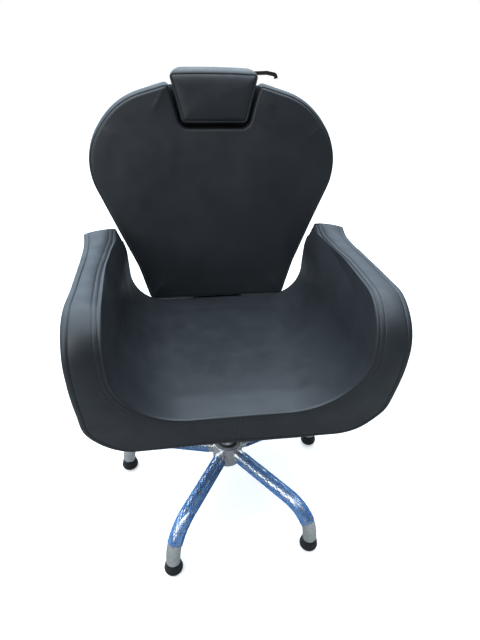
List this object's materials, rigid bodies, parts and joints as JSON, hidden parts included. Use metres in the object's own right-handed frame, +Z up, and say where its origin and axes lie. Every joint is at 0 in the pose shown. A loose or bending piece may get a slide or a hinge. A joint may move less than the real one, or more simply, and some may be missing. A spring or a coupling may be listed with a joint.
{
  "type": "threading chair",
  "caption": "Reclining salon threading chair: bucket seat with rolled arms, pear-shaped back with a notch for a sliding head rest, gas lift and star base on glides.",
  "frame": {"origin": "on the floor, on the seat's swivel axis", "axes": "+Z up along the swivel axis; the chair faces -Y, so +Y points behind the sitter and +X to the sitter's left"},
  "size_m": [0.6918, 0.7317, 1.0467],
  "materials": {
    "upholstery": "satin, fine grain",
    "plywood": "raw",
    "leg_chrome": "satin",
    "bright_chrome": "polished",
    "sleeve_mesh": "translucent mesh film",
    "glide_rubber": "matte",
    "black_plastic": "matte",
    "zinc_steel": "zinc plated",
    "black_steel": "satin black powder coat",
    "handle_black": "dark satin"
  },
  "bodies": {
    "base": {"leg_1": "leg_chrome", "leg_2": "leg_chrome", "leg_3": "leg_chrome", "leg_4": "leg_chrome", "leg_5": "leg_chrome", "leg_sleeve_1": "sleeve_mesh", "leg_sleeve_2": "sleeve_mesh", "leg_sleeve_3": "sleeve_mesh", "leg_sleeve_4": "sleeve_mesh", "leg_sleeve_5": "sleeve_mesh", "glide_1": "glide_rubber", "glide_2": "glide_rubber", "glide_3": "glide_rubber", "glide_4": "glide_rubber", "glide_5": "glide_rubber", "hub": "bright_chrome", "hub_ring": "black_plastic", "column_tube": "bright_chrome", "guide_bush": "black_plastic", "thrust_bearing": "zinc_steel"},
    "swivel_rod": {"piston_rod": "zinc_steel", "rod_clip": "zinc_steel"},
    "seat": {"gas_cylinder": "black_steel", "seat_plate": "black_steel", "seat_board": "plywood", "tee_nuts": "zinc_steel", "seat_bolts": "zinc_steel", "lever_pin": "zinc_steel", "tub_front_band": "upholstery", "tub_rear_band": "upholstery", "tub_inner_pad": "upholstery", "tub_shell": "plywood", "tub_outer_pad": "upholstery", "hinge_bracket": "black_steel", "hinge_pins": "zinc_steel", "hinge_washers": "zinc_steel", "strut_tube": "black_steel", "strut_pin": "zinc_steel"},
    "height_lever": {"height_lever": "bright_chrome", "lever_grip": "black_plastic"},
    "release_pin": {"release_pin": "zinc_steel"},
    "back": {"back_arm_left": "black_steel", "back_arm_right": "black_steel", "arm_bolts": "zinc_steel", "crank_pin": "zinc_steel", "back_pad": "upholstery", "back_board": "plywood", "back_rear_pad": "upholstery", "head_guide": "black_steel", "handle_bracket": "black_steel", "bracket_screws": "zinc_steel", "handle_pin": "zinc_steel", "release_cable": "black_plastic"},
    "strut_rod": {"strut_rod": "bright_chrome"},
    "trip_lever": {"trip_lever": "zinc_steel"},
    "recline_handle": {"recline_handle": "handle_black"},
    "head_rest": {"head_pad": "upholstery", "head_board": "plywood", "head_bar": "bright_chrome", "head_screws": "zinc_steel"}
  },
  "joints": [
    {"name": "seat_swivel", "type": "hinge", "parent": "base", "child": "swivel_rod", "pos_m": [0, 0, 0.1], "axis": [0, 0, 1], "continuous": true},
    {"name": "seat_height", "type": "slide", "parent": "swivel_rod", "child": "seat", "axis": [0, 0, 1], "range_m": [-0.035, 0.085]},
    {"name": "height_lever_tilt", "type": "hinge", "parent": "seat", "child": "height_lever", "pos_m": [0.045, 0, 0.3963], "axis": [0, -1, 0], "range_deg": [0, 5], "stiffness_Nm_per_rad": 4, "springref_deg": -2.86},
    {"name": "release_pin_press", "type": "slide", "parent": "seat", "child": "release_pin", "axis": [0, 0, 1], "range_m": [-0.004, 0], "stiffness_N_per_m": 300},
    {"name": "back_recline", "type": "hinge", "parent": "seat", "child": "back", "pos_m": [0, 0.33, 0.43], "axis": [-1, 0, 0], "range_deg": [0, 40]},
    {"name": "strut_slide", "type": "slide", "parent": "seat", "child": "strut_rod", "axis": [0, 1, 0], "range_m": [-0.04124, 0]},
    {"name": "trip_lever_pull", "type": "hinge", "parent": "strut_rod", "child": "trip_lever", "pos_m": [0, 0.36352, 0.37981], "axis": [-1, 0, 0], "range_deg": [0, 6], "stiffness_Nm_per_rad": 0.3},
    {"name": "recline_handle_pull", "type": "hinge", "parent": "back", "child": "recline_handle", "pos_m": [0.08, 0.44771, 1.02892], "axis": [0, 0.9877, -0.1564], "range_deg": [0, 18], "stiffness_Nm_per_rad": 0.5, "springref_deg": -5.73},
    {"name": "head_rest_height", "type": "slide", "parent": "back", "child": "head_rest", "axis": [0, 0.1564, 0.9877], "range_m": [0, 0.08]}
  ],
  "couplings": [
    {"joint": "release_pin_press", "follows": "height_lever_tilt", "m_per_rad": -0.045},
    {"joint": "strut_slide", "follows": "back_recline", "m_per_rad": -0.058789},
    {"joint": "trip_lever_pull", "follows": "recline_handle_pull", "ratio": 0.33333}
  ]
}
